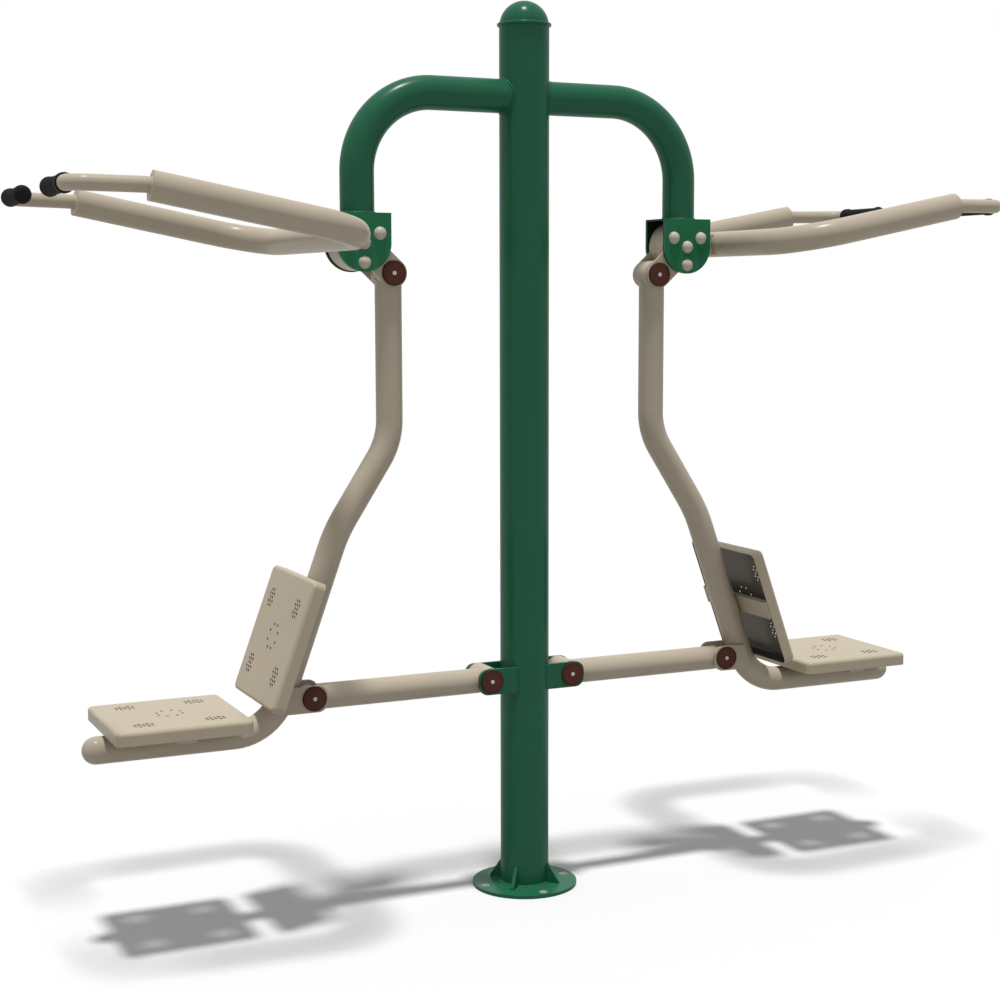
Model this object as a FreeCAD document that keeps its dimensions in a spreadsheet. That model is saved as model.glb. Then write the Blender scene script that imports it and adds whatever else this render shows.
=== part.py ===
import FreeCAD, Part
import math
import os
import re

import Sketcher

V = FreeCAD.Vector

# Driving dimensions in millimetres and degrees. X runs outward from the post to the right
# seat, Y runs across the machine and Z is up. The left station mirrors the right one.
SIZES = {
    # Post, its foot and its cap
    "post_radius": 57,
    "post_wall": 4,
    "post_height": 1999,
    "flange_thickness": 8,
    "flange_bore": 40,
    "anchor_standoff": 46,
    "anchor_edge": 21,
    "anchor_hole": 9,
    "gusset_height": 46,
    "gusset_reach": 30,
    "gusset_thickness": 8,
    "cap_overhang": 5,
    "cap_rim_thickness": 8,
    "cap_dome_inset": 1,
    "cap_dome_height": 49.5,
    "cap_spigot": 25,
    # Arch that carries each lever
    "arch_radius": 38,
    "arch_wall": 4,
    "arch_drop": 156,
    "arch_bend": 178,
    # Lever pivot and the clevis round it
    "pivot_x": 406,
    "pivot_drop": 333,
    "clevis_half_width": 62.5,
    "clevis_thickness": 8,
    "bridge_thickness": 4,
    "hub_radius": 60,
    "hub_gap": 1.5,
    "bush_length": 24,
    "bush_wall": 5,
    "axle_radius": 15,
    "stub_inset": 8,
    "stub_flange_edge": 10,
    "stub_flange_thickness": 5,
    "bolt_radius": 6,
    "bolt_head_radius": 14.5,
    "bolt_head_height": 11,
    # Lever: tail to the hanger, yoke to the handles
    "tail_inset": 71,
    "tail_drop": 65,
    "tail_half_width": 31,
    "tail_thickness": 6,
    "yoke_radius": 30,
    "yoke_wall": 1.8,
    "yoke_end_wall": 5,
    "yoke_gap": 7.5,
    "yoke_rise": 8,
    "yoke_half_span": 373,
    "yoke_bend": 125,
    "yoke_bracket_half_height": 24,
    "sleeve_reach": 442,
    "sleeve_inset": 24,
    "sleeve_rise": 93,
    "bar_radius": 16,
    "bar_wall": 1.8,
    "bar_socket": 60,
    "bar_straight": 8,
    "bar_bend": 40,
    "elbow_reach": 150,
    "elbow_inset": 17,
    "elbow_rise": 4,
    "elbow_bend": 36,
    "grip_clear": 3,
    "grip_length": 158,
    "grip_wall": 4,
    "grip_lip_round": 3,
    "grip_tip_round": 12,
    "grip_collar_length": 18,
    "grip_flare": 12,
    "grip_waist_cut": 2.5,
    "grip_end_wall": 5,
    # Pins and their caps
    "pin_radius": 12,
    "cap_radius": 28,
    "cap_thickness": 4.5,
    "cap_button_radius": 4.2,
    "cap_button_height": 0.8,
    # Hanger that carries the seat
    "eye_margin": 3,
    "hanger_radius": 30,
    "hanger_wall": 5,
    "upper_bend_height": 1073,
    "upper_bend": 160,
    "knee_drop": 200,
    "knee_bend": 350,
    "seat_tube_height": 434,
    "seat_reach": 218,
    "seat_bend": 120,
    "seat_tube_overhang": 13,
    "back_tilt": 20,
    "lug_thickness": 8,
    "lug_above": 28.5,
    "lug_below": 31.5,
    "lug_nose": 31,
    "lug_corner": 22,
    # Pressed pans of the seat and the backrest
    "pan_length": 295,
    "pan_width": 292,
    "pan_depth": 29,
    "pan_wall": 2.5,
    "pan_corner": 14,
    "pan_edge": 8,
    "pan_lift": 6.5,
    "seat_pan_overhang": 6,
    "back_pan_overhang": 26,
    "hole_radius": 3.5,
    "hole_row_pitch": 9,
    "hole_column_pitch": 13,
    "hole_ring": 28,
    "cluster_reach": 77,
    "cluster_spread": 88,
    "crossbar_height": 44,
    "crossbar_bite": 5,
    # Link from the post to the hanger
    "post_pin_standoff": 47,
    "swing_room": 8.7,
    "pin_rise": 74,
    "link_side_gap": 1,
    "link_wall": 3,
    "link_drop": 4,
    "link_inset": 14,
    "post_eye_radius": 30,
    "post_eye_half_length": 35.5,
    "seat_eye_wall": 4,
    "open_clearance": 5.5,
    # Fits
    "running_fit": 0.05,
    "side_gap": 0.5,
    "weld_gap": 0.1,
}

doc = FreeCAD.newDocument("PullChair")
sheet = doc.addObject("Spreadsheet::Sheet", "Sizes")
for row, (name, value) in enumerate(SIZES.items(), start=1):
    sheet.set(f"A{row}", name)
    sheet.set(f"B{row}", str(value))
    sheet.setAlias(f"B{row}", name)
doc.recompute()

nodes = {}


def formula(text):
    """Point the size names in a formula at their cells."""
    def cell(word):
        return "Sizes." + word.group() if word.group() in SIZES else word.group()
    return re.sub(r"[a-z_]+", cell, str(text))


def number(text):
    """Value of a formula, worked out by the document."""
    return float(sheet.evalExpression(formula(text)))


def bind(feature, **formulas):
    """Tie properties to the sheet; x, y and z stand for the place of the feature."""
    places = {"x": "Placement.Base.x", "y": "Placement.Base.y", "z": "Placement.Base.z"}
    for name, text in formulas.items():
        feature.setExpression(places.get(name, name), formula(text))
    return feature


def node(label, feature):
    """Keep a finished piece under the name of its file."""
    feature.Label = label
    nodes[label] = feature
    return feature


def cut(name, base, *tools):
    """Base with the tools taken out of it, one after another."""
    for step, tool in enumerate(tools):
        piece = doc.addObject("Part::Cut", f"{name}_cut{step}")
        piece.Base = base
        piece.Tool = tool
        base = piece
    return base


def fuse(name, *pieces):
    """Pieces welded into one."""
    welded = doc.addObject("Part::MultiFuse", name)
    welded.Shapes = list(pieces)
    welded.Refine = True
    return welded


def group(name, *pieces):
    """Separate pieces kept as one node."""
    together = doc.addObject("Part::Compound", name)
    together.Links = list(pieces)
    return together


def mirrored(name, source, normal):
    """Mirror image of a piece through the origin."""
    image = doc.addObject("Part::Mirroring", name)
    image.Source = source
    image.Normal = normal
    return image


def both_sides(name, far):
    """A piece on the far side of the machine's middle plane and its near twin."""
    return group(name, far, mirrored(f"{name}_near", far, V(0, 1, 0)))


def upright(name, radius, bottom, height):
    """Round bar standing on the post's axis."""
    bar = doc.addObject("Part::Cylinder", name)
    return bind(bar, Radius=radius, Height=height, z=bottom)


def across(name, radius, start, end, x, z):
    """Round bar lying across the machine from start to end."""
    bar = doc.addObject("Part::Cylinder", name)
    bar.Placement = FreeCAD.Placement(V(), FreeCAD.Rotation(V(1, 0, 0), -90))
    return bind(bar, Radius=radius, Height=f"({end}) - ({start})", x=x, y=start, z=z)


def barrel(name, radius, bore, start, end, x, z):
    """Bored barrel lying across the machine."""
    outer = across(f"{name}_outer", radius, start, end, x, z)
    inner = across(f"{name}_bore", bore, start, end, x, z)
    return cut(name, outer, inner)


def sketch_on(body, name, role):
    """Empty sketch on one of the body's own planes."""
    sketch = body.newObject("Sketcher::SketchObject", name)
    plane = next(item for item in body.Origin.OriginFeatures if item.Role == role)
    sketch.AttachmentSupport = (plane, [""])
    sketch.MapMode = "FlatFace"
    return sketch


def hold(sketch, geometry, end, place):
    """Fix a point of the sketch at a pair of formulas."""
    for kind, axis, text in (("DistanceX", -2, place[0]), ("DistanceY", -1, place[1])):
        value = number(text)
        if str(text) == "0":
            sketch.addConstraint(Sketcher.Constraint("PointOnObject", geometry, end, axis))
            continue
        index = sketch.addConstraint(
            Sketcher.Constraint(kind, -1, 1, geometry, end, value))
        sketch.setExpression(f"Constraints[{index}]", formula(text))


def outline(body, name, role, corners, arcs=()):
    """Closed outline through the corners. A side named in arcs bends round its centre."""
    sketch = sketch_on(body, name, role)
    arcs = dict(arcs)
    points = [V(number(u), number(v), 0) for u, v in corners]
    starts = []
    ends = []
    for side, point in enumerate(points):
        following = points[(side + 1) % len(points)]
        starts.append(1)
        ends.append(2)
        if side not in arcs:
            sketch.addGeometry(Part.LineSegment(point, following))
            continue
        centre = V(number(arcs[side][0]), number(arcs[side][1]), 0)
        begin = math.atan2(point.y - centre.y, point.x - centre.x)
        finish = math.atan2(following.y - centre.y, following.x - centre.x)
        if (finish - begin) % math.tau > math.pi:
            begin, finish = finish, begin
            starts[side], ends[side] = 2, 1
        circle = Part.Circle(centre, V(0, 0, 1), (point - centre).Length)
        sketch.addGeometry(Part.ArcOfCircle(circle, begin, finish))
    for side in range(len(points)):
        following = (side + 1) % len(points)
        sketch.addConstraint(Sketcher.Constraint(
            "Coincident", side, ends[side], following, starts[following]))
    for side, corner in enumerate(corners):
        hold(sketch, side, starts[side], corner)
    for side, centre in arcs.items():
        index = sketch.addConstraint(Sketcher.Constraint(
            "DistanceY", -1, 1, side, 3, number(centre[1])))
        sketch.setExpression(f"Constraints[{index}]", formula(centre[1]))
    return sketch


def circles(body, name, role, rounds):
    """Sketch of circles, each a pair of formulas for its centre and one for its radius."""
    sketch = sketch_on(body, name, role)
    for u, v, radius in rounds:
        centre = V(number(u), number(v), 0)
        drawn = sketch.addGeometry(Part.Circle(centre, V(0, 0, 1), number(radius)))
        hold(sketch, drawn, 3, (u, v))
        index = sketch.addConstraint(
            Sketcher.Constraint("Radius", drawn, number(radius)))
        sketch.setExpression(f"Constraints[{index}]", formula(radius))
    return sketch


def plate(name, corners, thickness, face, arcs=(), holes=()):
    """Plate standing along the machine, its outer face at the given Y."""
    body = doc.addObject("PartDesign::Body", name)
    pad = body.newObject("PartDesign::Pad", f"{name}_pad")
    pad.Profile = outline(body, f"{name}_outline", "XZ_Plane", corners, arcs)
    bind(pad, Length=thickness)
    if holes:
        doc.recompute()
        pocket = body.newObject("PartDesign::Pocket", f"{name}_holes")
        pocket.Profile = circles(body, f"{name}_rounds", "XZ_Plane", holes)
        pocket.Type = "ThroughAll"
        pocket.Reversed = True
        body.Tip = pocket
    return bind(body, y=face)


def lathe(name, role, corners, arcs=()):
    """Turned piece about the upright axis of its sketch."""
    body = doc.addObject("PartDesign::Body", name)
    turned = body.newObject("PartDesign::Revolution", f"{name}_turned")
    profile = outline(body, f"{name}_outline", role, corners, arcs)
    turned.Profile = profile
    turned.ReferenceAxis = (profile, ["V_Axis"])
    turned.Angle = 360
    return body


def set_out(name, source, placements):
    """Like pieces set out as one node."""
    doc.recompute()
    copies = doc.addObject("Part::Feature", name)
    copies.Shape = Part.makeCompound(
        [source.Shape.transformed(place.toMatrix(), True) for place in placements])
    return copies


def rounded_path(points, bends):
    """Straight runs joined by tangent arcs, one bend radius for each inner point."""
    edges = []
    start = points[0]
    for before, corner, after, bend in zip(points, points[1:], points[2:], bends):
        arriving = (corner - before).normalize()
        leaving = (after - corner).normalize()
        half_turn = arriving.getAngle(leaving) / 2
        run = bend * math.tan(half_turn)
        first = corner - arriving * run
        last = corner + leaving * run
        inward = (leaving - arriving).normalize()
        middle = corner + inward * bend * (1 / math.cos(half_turn) - 1)
        edges.append(Part.LineSegment(start, first).toShape())
        edges.append(Part.Arc(first, middle, last).toShape())
        start = last
    edges.append(Part.LineSegment(start, points[-1]).toShape())
    return Part.Wire(edges)


def swept(points, bends, radius):
    """Solid round bar along a path."""
    path = rounded_path(points, bends)
    heading = points[1] - points[0]
    ring = Part.Wire(Part.makeCircle(radius, points[0], heading))
    return path.makePipeShell([ring], True, False)


def shaped(name, shape):
    """Piece whose form follows a path in space."""
    piece = doc.addObject("Part::Feature", name)
    piece.Shape = shape
    return piece


# Post: a round tube standing on a bolted flange, stiffened by four gussets and closed by
# a domed cap with a rolled rim.
ANCHOR_CIRCLE = "post_radius + anchor_standoff"
flange = doc.addObject("PartDesign::Body", "flange")
flange_pad = flange.newObject("PartDesign::Pad", "flange_pad")
flange_pad.Profile = circles(
    flange, "flange_rounds", "XY_Plane",
    [("0", "0", f"{ANCHOR_CIRCLE} + anchor_edge"), ("0", "0", "flange_bore")])
bind(flange_pad, Length="flange_thickness")
doc.recompute()
anchor = flange.newObject("PartDesign::Pocket", "anchor_hole_cut")
anchor.Profile = circles(flange, "anchor_round", "XY_Plane", [(ANCHOR_CIRCLE, "0", "anchor_hole")])
anchor.Type = "ThroughAll"
anchor.Reversed = True
doc.recompute()
anchors = flange.newObject("PartDesign::PolarPattern", "anchor_holes")
anchors.Originals = [anchor]
anchors.Axis = (anchor.Profile[0], ["N_Axis"])
anchors.Angle = 360
anchors.Occurrences = 4
flange.Tip = anchors
node("base_flange", flange)

post_tube = cut(
    "post_tube",
    upright("post_outer", "post_radius", "flange_thickness", "post_height - flange_thickness"),
    upright("post_inner", "post_radius - post_wall", "flange_thickness",
            "post_height - flange_thickness"))
node("post", post_tube)

GUSSET_FOOT = "post_radius + weld_gap"
GUSSET_TOE = 12
gusset = plate(
    "gusset",
    [(GUSSET_FOOT, "flange_thickness"),
     (f"{GUSSET_FOOT} + gusset_reach", "flange_thickness"),
     (f"{GUSSET_FOOT} + gusset_reach", f"flange_thickness + gusset_height / {GUSSET_TOE}"),
     (f"{GUSSET_FOOT} + gusset_reach / {GUSSET_TOE}", "flange_thickness + gusset_height"),
     (GUSSET_FOOT, "flange_thickness + gusset_height")],
    "gusset_thickness", "gusset_thickness / 2")
GUSSET_ANGLES = (45, 135, 225, 315)
node("base_gussets", set_out("gussets", gusset, [
    FreeCAD.Placement(V(), FreeCAD.Rotation(V(0, 0, 1), angle)) for angle in GUSSET_ANGLES]))

RIM_MIDDLE = "post_height + cap_rim_thickness / 2"
RIM_TOP = "post_height + cap_rim_thickness"
RIM_RADIUS = "post_radius + cap_overhang"
RIM_CENTRE = f"{RIM_RADIUS} - cap_rim_thickness / 2"
DOME_RADIUS = "post_radius - cap_dome_inset"
DOME_TOP = f"{RIM_TOP} + cap_dome_height"
DOME_CENTRE = (f"{RIM_TOP} + (cap_dome_height ^ 2 - ({DOME_RADIUS}) ^ 2)"
               " / (2 * cap_dome_height)")
cap = lathe(
    "cap", "XZ_Plane",
    [("0", "post_height - cap_spigot"),
     ("post_radius - post_wall - weld_gap", "post_height - cap_spigot"),
     ("post_radius - post_wall - weld_gap", "post_height"),
     (RIM_CENTRE, "post_height"),
     (RIM_RADIUS, RIM_MIDDLE),
     (RIM_CENTRE, RIM_TOP),
     (DOME_RADIUS, RIM_TOP),
     ("0", DOME_TOP)],
    {3: (RIM_CENTRE, RIM_MIDDLE), 4: (RIM_CENTRE, RIM_MIDDLE), 6: ("0", DOME_CENTRE)})
node("post_cap", cap)

# Arch: a bent tube that leaves the post sideways and turns down to the lever's clevis.
ARCH_Z = "post_height - arch_drop"
PIVOT_Z = f"{ARCH_Z} - pivot_drop"
CLEVIS_TOP = f"{PIVOT_Z} + hub_radius + hub_gap + bridge_thickness"
arch_points = [V(0, 0, number(ARCH_Z)),
               V(sheet.pivot_x, 0, number(ARCH_Z)),
               V(sheet.pivot_x, 0, number(CLEVIS_TOP))]
arch_bends = [sheet.arch_bend]
arch = shaped("arch", swept(arch_points, arch_bends, sheet.arch_radius).cut(
    swept(arch_points, arch_bends, sheet.arch_radius - sheet.arch_wall)))
coping = upright("arch_coping", "post_radius + weld_gap", "0", "post_height")
node("right_arch_tube", cut("arch_tube", arch, coping))

# Clevis: two cheek plates with round lower ends, welded under a bridge plate at the foot
# of the arch. Three bolts and a centre bolt pass through each cheek.
TAIL_IN = "hanger_radius + side_gap"
TAIL_OUT = f"{TAIL_IN} + tail_thickness"
CHEEK_IN = f"{TAIL_OUT} + hub_gap"
CHEEK_OUT = f"{CHEEK_IN} + clevis_thickness"
CLEVIS_LEFT = "pivot_x - clevis_half_width"
CLEVIS_RIGHT = "pivot_x + clevis_half_width"
STUB_RADIUS = "hub_radius - stub_inset"
BOLT_CIRCLE = f"({STUB_RADIUS} - stub_flange_edge)"
BOLT_SPREAD = f"{BOLT_CIRCLE} * cos(30)"
BOLT_RISE = f"{BOLT_CIRCLE} * sin(30)"
BOLT_SPOTS = [("pivot_x", PIVOT_Z),
              ("pivot_x", f"{PIVOT_Z} - {BOLT_CIRCLE}"),
              (f"pivot_x - {BOLT_SPREAD}", f"{PIVOT_Z} + {BOLT_RISE}"),
              (f"pivot_x + {BOLT_SPREAD}", f"{PIVOT_Z} + {BOLT_RISE}")]
BOLT_HOLE = "bolt_radius + weld_gap"
cheek = plate(
    "cheek",
    [(CLEVIS_LEFT, CLEVIS_TOP),
     (CLEVIS_LEFT, PIVOT_Z),
     ("pivot_x", f"{PIVOT_Z} - clevis_half_width"),
     (CLEVIS_RIGHT, PIVOT_Z),
     (CLEVIS_RIGHT, CLEVIS_TOP)],
    "clevis_thickness", CHEEK_OUT,
    {1: ("pivot_x", PIVOT_Z), 2: ("pivot_x", PIVOT_Z)},
    [(x, z, BOLT_HOLE) for x, z in BOLT_SPOTS])
bridge = doc.addObject("Part::Box", "bridge")
bind(bridge, Length="2 * clevis_half_width", Width=f"2 * ({CHEEK_IN})", Height="bridge_thickness",
     x=CLEVIS_LEFT, y=f"-({CHEEK_IN})", z=f"{CLEVIS_TOP} - bridge_thickness")
node("right_clevis", fuse("clevis", cheek, mirrored("cheek_near", cheek, V(0, 1, 0)), bridge))

# Flanged stub axles: one bolted inside each cheek, their shafts meeting in the hub.
STUB_FACE = f"{CHEEK_IN} - stub_flange_thickness"
stub_flange = across("stub_flange", STUB_RADIUS, STUB_FACE, CHEEK_IN, "pivot_x", PIVOT_Z)
stub_shaft = across("stub_shaft", "axle_radius", "side_gap / 2", STUB_FACE,
                    "pivot_x", PIVOT_Z)
stub_holes = [across(f"stub_hole{index}", BOLT_HOLE, STUB_FACE, CHEEK_IN, x, z)
              for index, (x, z) in enumerate(BOLT_SPOTS)]
stub = cut("stub", fuse("stub_blank", stub_flange, stub_shaft), *stub_holes)
node("right_pivot_stubs", both_sides("pivot_stubs", stub))

BOLT_LENGTH = "clevis_thickness + stub_flange_thickness"
HEAD_CENTRE = "(bolt_head_height ^ 2 - bolt_head_radius ^ 2) / (2 * bolt_head_height)"
bolt = lathe(
    "bolt", "XY_Plane",
    [("0", f"-({BOLT_LENGTH})"),
     ("bolt_radius", f"-({BOLT_LENGTH})"),
     ("bolt_radius", "0"),
     ("bolt_head_radius", "0"),
     ("0", "bolt_head_height")],
    {3: ("0", HEAD_CENTRE)})
far_bolts = set_out("far_bolts", bolt, [
    FreeCAD.Placement(V(number(x), number(CHEEK_OUT), number(z)), FreeCAD.Rotation())
    for x, z in BOLT_SPOTS])
node("right_clevis_bolts", both_sides("clevis_bolts", far_bolts))

# Lever hub: a barrel that turns on the stub axles in two bushes.
BUSH_OUTER = "axle_radius + running_fit + bush_wall"
HUB_HALF = f"{STUB_FACE} - side_gap"
hub = barrel("hub", "hub_radius", BUSH_OUTER, f"-({HUB_HALF})", HUB_HALF, "pivot_x", PIVOT_Z)
node("right_lever_hub", hub)
hub_bush = barrel("hub_bush", f"{BUSH_OUTER} - weld_gap", "axle_radius + running_fit",
                  f"{HUB_HALF} - bush_length", HUB_HALF, "pivot_x", PIVOT_Z)
node("right_hub_bushes", both_sides("hub_bushes", hub_bush))

# Tail plates: two straps from the hub down to the pin that carries the hanger.
TAIL_X = "pivot_x - tail_inset"
TAIL_Z = f"{PIVOT_Z} - tail_drop"
TAIL_LENGTH = "sqrt(tail_inset ^ 2 + tail_drop ^ 2)"
tail = plate(
    "tail",
    [("0", "0"),
     (TAIL_LENGTH, "0"),
     (f"{TAIL_LENGTH} + tail_half_width", "tail_half_width"),
     (TAIL_LENGTH, "2 * tail_half_width"),
     ("0", "2 * tail_half_width")],
    "tail_thickness", TAIL_OUT,
    {1: (TAIL_LENGTH, "tail_half_width"), 2: (TAIL_LENGTH, "tail_half_width")},
    [("0", "tail_half_width", "hub_radius + weld_gap"),
     (TAIL_LENGTH, "tail_half_width", "pin_radius + weld_gap")])
tail.Placement = FreeCAD.Placement(V(), FreeCAD.Rotation(V(0, 1, 0), 0))
tail_angle = "180 deg - atan(tail_drop / tail_inset)"
bind(tail, **{"Placement.Rotation.Angle": tail_angle},
     x=f"pivot_x - tail_half_width * sin({tail_angle})", y=TAIL_OUT,
     z=f"{PIVOT_Z} - tail_half_width * cos({tail_angle})")
node("right_tail_plates", both_sides("tail_plates", tail))

# Yoke: one tube bent into a U round the rider, held off the hub by two brackets.
YOKE_X = f"{CLEVIS_RIGHT} + yoke_gap + yoke_radius"
YOKE_Z = f"{PIVOT_Z} + yoke_rise"
bracket = plate(
    "bracket",
    [("pivot_x", f"{PIVOT_Z} - yoke_bracket_half_height"),
     (YOKE_X, f"{YOKE_Z} - yoke_bracket_half_height"),
     (YOKE_X, f"{YOKE_Z} + yoke_bracket_half_height"),
     ("pivot_x", f"{PIVOT_Z} + yoke_bracket_half_height")],
    "tail_thickness", TAIL_OUT, (),
    [("pivot_x", PIVOT_Z, "hub_radius + weld_gap"),
     (YOKE_X, YOKE_Z, "yoke_radius + weld_gap")])
node("right_yoke_brackets", both_sides("yoke_brackets", bracket))

far_corner = V(number(YOKE_X), sheet.yoke_half_span, number(YOKE_Z))
SLEEVE_X = f"{YOKE_X} + sleeve_reach"
SLEEVE_Y = "yoke_half_span - sleeve_inset"
SLEEVE_Z = f"{PIVOT_Z} + sleeve_rise"
far_end = V(number(SLEEVE_X), number(SLEEVE_Y), number(SLEEVE_Z))
far_heading = (far_end - far_corner).normalize()


def near(point):
    """Same point on the near side of the machine."""
    return V(point.x, -point.y, point.z)


yoke_bends = [sheet.yoke_bend, sheet.yoke_bend]
yoke_outer = swept([near(far_end), near(far_corner), far_corner, far_end],
                   yoke_bends, sheet.yoke_radius)
inner_end = far_end - far_heading * sheet.yoke_end_wall
yoke_inner = swept([near(inner_end), near(far_corner), far_corner, inner_end],
                   yoke_bends, sheet.yoke_radius - sheet.yoke_wall)
yoke_shape = yoke_outer.cut(yoke_inner)
for end, heading in ((far_end, far_heading), (near(far_end), near(far_heading))):
    depth = 2 * sheet.yoke_end_wall
    socket = Part.makeCylinder(sheet.bar_radius + sheet.weld_gap, 2 * depth, end - heading * depth, heading)
    yoke_shape = yoke_shape.cut(socket)
node("right_yoke", shaped("yoke", yoke_shape))

# Handle bars: thinner tubes that leave the yoke's closed ends and turn in to the grips.
ELBOW_X = f"{SLEEVE_X} + elbow_reach"
ELBOW_Y = f"{SLEEVE_Y} - elbow_inset"
ELBOW_Z = f"{SLEEVE_Z} + elbow_rise"
ELBOW_HALF_TURN = "(90 deg - atan(elbow_inset / elbow_reach)) / 2"
GRIP_TIP = f"{ELBOW_Y} - elbow_bend * tan({ELBOW_HALF_TURN}) - grip_clear - grip_length"
far_elbow = V(number(ELBOW_X), number(ELBOW_Y), number(ELBOW_Z))
far_tip = V(number(ELBOW_X), number(f"{GRIP_TIP} + grip_end_wall"), number(ELBOW_Z))
bar_points = [far_end - far_heading * sheet.bar_socket,
              far_end + far_heading * sheet.bar_straight, far_elbow, far_tip]
bar_bends = [sheet.bar_bend, sheet.elbow_bend]
far_bar = shaped("far_bar", swept(bar_points, bar_bends, sheet.bar_radius).cut(
    swept(bar_points, bar_bends, sheet.bar_radius - sheet.bar_wall)))
node("right_handle_bars", both_sides("handle_bars", far_bar))

GRIP_BORE = "bar_radius + weld_gap"
GRIP_RADIUS = f"{GRIP_BORE} + grip_wall"
TIP_EDGE = f"{GRIP_RADIUS} - grip_tip_round"
LIP_EDGE = f"{GRIP_RADIUS} - grip_lip_round"
LIP_FOOT = "grip_length - grip_lip_round"
WAIST = f"{GRIP_RADIUS} - grip_waist_cut"
grip = lathe(
    "grip", "XY_Plane",
    [("0", "0"),
     (TIP_EDGE, "0"),
     (GRIP_RADIUS, "grip_tip_round"),
     (GRIP_RADIUS, "grip_collar_length"),
     (WAIST, "grip_collar_length + grip_flare"),
     (WAIST, "grip_length - grip_collar_length - grip_flare"),
     (GRIP_RADIUS, "grip_length - grip_collar_length"),
     (GRIP_RADIUS, LIP_FOOT),
     (LIP_EDGE, "grip_length"),
     (GRIP_BORE, "grip_length"),
     (GRIP_BORE, "grip_end_wall"),
     ("0", "grip_end_wall")],
    {1: (TIP_EDGE, "grip_tip_round"), 7: (LIP_EDGE, LIP_FOOT)})
bind(grip, x=ELBOW_X, y=GRIP_TIP, z=ELBOW_Z)
node("right_grips", both_sides("grips", grip))


def pin_and_caps(prefix, x, z, half_length):
    """Pin across the machine with a round cap over each end."""
    pin = across(f"{prefix}_bar", "pin_radius", f"-({half_length})", half_length, x, z)
    node(f"right_{prefix}", pin)
    face = lathe(
        f"{prefix}_cap", "XY_Plane",
        [("0", "0"),
         ("cap_radius", "0"),
         ("cap_radius", "cap_thickness * 0.6"),
         ("cap_radius - cap_thickness * 0.4", "cap_thickness"),
         ("cap_button_radius", "cap_thickness"),
         ("cap_button_radius", "cap_thickness + cap_button_height"),
         ("0", "cap_thickness + cap_button_height")],
        {2: ("cap_radius - cap_thickness * 0.4", "cap_thickness * 0.6")})
    bind(face, x=x, y=half_length, z=z)
    node(f"right_{prefix}_caps", both_sides(f"{prefix}_caps", face))


pin_and_caps("tail_pin", TAIL_X, TAIL_Z, TAIL_OUT)

# Hanger: a tube that drops from the tail pin, bends out behind the backrest and turns
# forward under the seat to a domed end. Its top is coped to the eye, which fits between the
# tail plates.
EYE_BORE = "pin_radius + running_fit + bush_wall"
EYE_RADIUS = "hanger_radius + eye_margin"
eye = barrel("eye", EYE_RADIUS, EYE_BORE, "-hanger_radius", "hanger_radius", TAIL_X, TAIL_Z)
node("right_hanger_eye", eye)
eye_bush = barrel("eye_bush", f"{EYE_BORE} - weld_gap", "pin_radius + running_fit",
                  "side_gap", "hanger_radius", TAIL_X, TAIL_Z)
node("right_hanger_eye_bushes", both_sides("hanger_eye_bushes", eye_bush))

BEND_RUN = "seat_bend * tan((90 - back_tilt) / 2)"
SEAT_BEND_X = "pivot_x + seat_reach"
SEAT_PAN_X = f"{SEAT_BEND_X} + {BEND_RUN} - seat_pan_overhang"
SEAT_TUBE_END = f"{SEAT_PAN_X} + pan_length + seat_tube_overhang"
KNEE_Z = "upper_bend_height - knee_drop"


def tube_x(height):
    """Where the straight run behind the backrest stands at a height."""
    return f"{SEAT_BEND_X} - ({height} - seat_tube_height) * tan(back_tilt)"


hanger_points = [V(number(TAIL_X), 0, number(TAIL_Z)),
                 V(number(TAIL_X), 0, sheet.upper_bend_height),
                 V(number(tube_x(KNEE_Z)), 0, number(KNEE_Z)),
                 V(number(SEAT_BEND_X), 0, sheet.seat_tube_height),
                 V(number(SEAT_TUBE_END), 0, sheet.seat_tube_height)]
hanger_bends = [sheet.upper_bend, sheet.knee_bend, sheet.seat_bend]


def domed(radius):
    """Solid of the hanger's path with a half ball on its end."""
    ball = Part.makeSphere(radius, hanger_points[-1])
    return swept(hanger_points, hanger_bends, radius).fuse(ball).removeSplitter()


hanger = shaped("hanger", domed(sheet.hanger_radius).cut(
    domed(sheet.hanger_radius - sheet.hanger_wall)))
eye_coping = across("eye_coping", f"{EYE_RADIUS} + weld_gap", "-hanger_radius", "hanger_radius",
                    TAIL_X, TAIL_Z)
node("right_hanger_tube", cut("hanger_tube", hanger, eye_coping))

# Hanger lugs: two ears on the sides of the tube that hold the link's outer pin.
LUG_IN = "hanger_radius + weld_gap"
LUG_OUT = f"{LUG_IN} + lug_thickness"
LINK_PIN_Z = "seat_tube_height + pin_rise"
LUG_TOP = f"{LINK_PIN_Z} + lug_above"
LUG_BOTTOM = f"{LINK_PIN_Z} - lug_below"
OUTER_BORE = "pin_radius + open_clearance"
OUTER_EYE = f"{OUTER_BORE} + seat_eye_wall"
SEAT_PIN_X = f"{tube_x(LINK_PIN_Z)} - (hanger_radius + {OUTER_EYE} + swing_room) / cos(back_tilt)"


def lug(name, root_bottom, root_top, pin_x, nose, face, hole):
    """Ear with two rounded corners at its nose."""
    side = 1 if number(nose) > number(pin_x) else -1
    shoulder = f"{nose} - {side} * lug_corner"
    return plate(
        name,
        [(root_bottom, LUG_BOTTOM),
         (shoulder, LUG_BOTTOM),
         (nose, f"{LUG_BOTTOM} + lug_corner"),
         (nose, f"{LUG_TOP} - lug_corner"),
         (shoulder, LUG_TOP),
         (root_top, LUG_TOP)],
        "lug_thickness", face,
        {1: (shoulder, f"{LUG_BOTTOM} + lug_corner"), 3: (shoulder, f"{LUG_TOP} - lug_corner")},
        [(pin_x, LINK_PIN_Z, hole)])


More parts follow.
